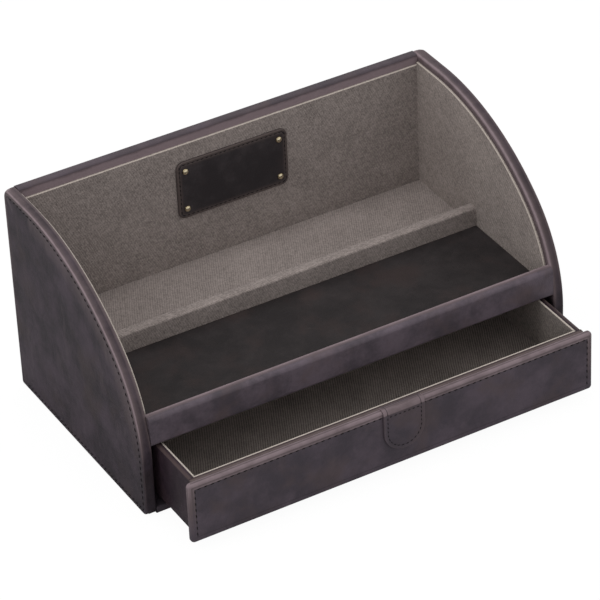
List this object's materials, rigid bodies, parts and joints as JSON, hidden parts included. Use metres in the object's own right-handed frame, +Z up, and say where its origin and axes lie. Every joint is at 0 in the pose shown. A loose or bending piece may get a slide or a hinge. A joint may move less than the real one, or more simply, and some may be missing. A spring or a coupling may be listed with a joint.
{
  "type": "valet box with drawer",
  "caption": "Open-fronted leather valet box with curved cheeks, a cloth-lined pen slot behind a divider, a shelf and a pull-out drawer.",
  "frame": {"origin": "middle of the two cheeks' footprint, on the surface that the box stands on", "axes": "+X to the right across the width, +Y to the back, +Z up; the drawer comes out along -Y"},
  "size_m": [0.29, 0.2039, 0.142],
  "materials": {
    "cover_leather": "oil-pull leather with a soft sheen, mottled, paler at worn edges",
    "shelf_leather": "the same leather, darker, soft sheen",
    "patch_leather": "near-black leather, stitched edge",
    "lining_cloth": "taupe twill",
    "ribbed_cloth": "taupe ribbed cloth",
    "felt": "short felt",
    "board": "raw fibreboard",
    "rivet_brass": "antique brass"
  },
  "bodies": {
    "carcass": {"left_cheek_board": "board", "right_cheek_board": "board", "left_cheek_leather": "cover_leather", "right_cheek_leather": "cover_leather", "back_board": "board", "back_leather": "cover_leather", "base_board": "board", "base_leather": "cover_leather", "base_felt": "felt", "front_rail_board": "board", "front_rail_leather": "cover_leather", "shelf_board": "board", "bay_bulkhead": "board", "left_drawer_runner": "board", "right_drawer_runner": "board", "left_drawer_guide": "board", "right_drawer_guide": "board", "left_lining": "lining_cloth", "right_lining": "lining_cloth", "back_lining": "lining_cloth", "rear_floor_lining": "ribbed_cloth", "shelf_pad": "board", "shelf_leather": "shelf_leather", "divider_board": "board", "divider_cloth": "lining_cloth", "leather_patch": "patch_leather", "patch_rivets": "rivet_brass"},
    "drawer": {"drawer_front_board": "board", "drawer_front_leather": "cover_leather", "drawer_wall_board": "board", "drawer_wall_leather": "cover_leather", "drawer_bottom": "board", "drawer_left_side": "board", "drawer_left_leather": "cover_leather", "drawer_left_lining": "lining_cloth", "drawer_right_side": "board", "drawer_right_leather": "cover_leather", "drawer_right_lining": "lining_cloth", "drawer_back": "board", "drawer_back_leather": "cover_leather", "drawer_back_lining": "lining_cloth", "drawer_front_lining": "lining_cloth", "drawer_floor_lining": "ribbed_cloth", "pull_tab_strap": "cover_leather"},
    "pull_tab": {"pull_tab_flap": "cover_leather"}
  },
  "joints": [
    {"name": "drawer_slide", "type": "slide", "parent": "carcass", "child": "drawer", "axis": [0, -1, 0], "range_m": [-0.043, 0.03]},
    {"name": "pull_tab_lift", "type": "hinge", "parent": "drawer", "child": "pull_tab", "pos_m": [0.005, -0.1231, 0.0468], "axis": [-1, 0, 0], "range_deg": [0, 60]}
  ]
}
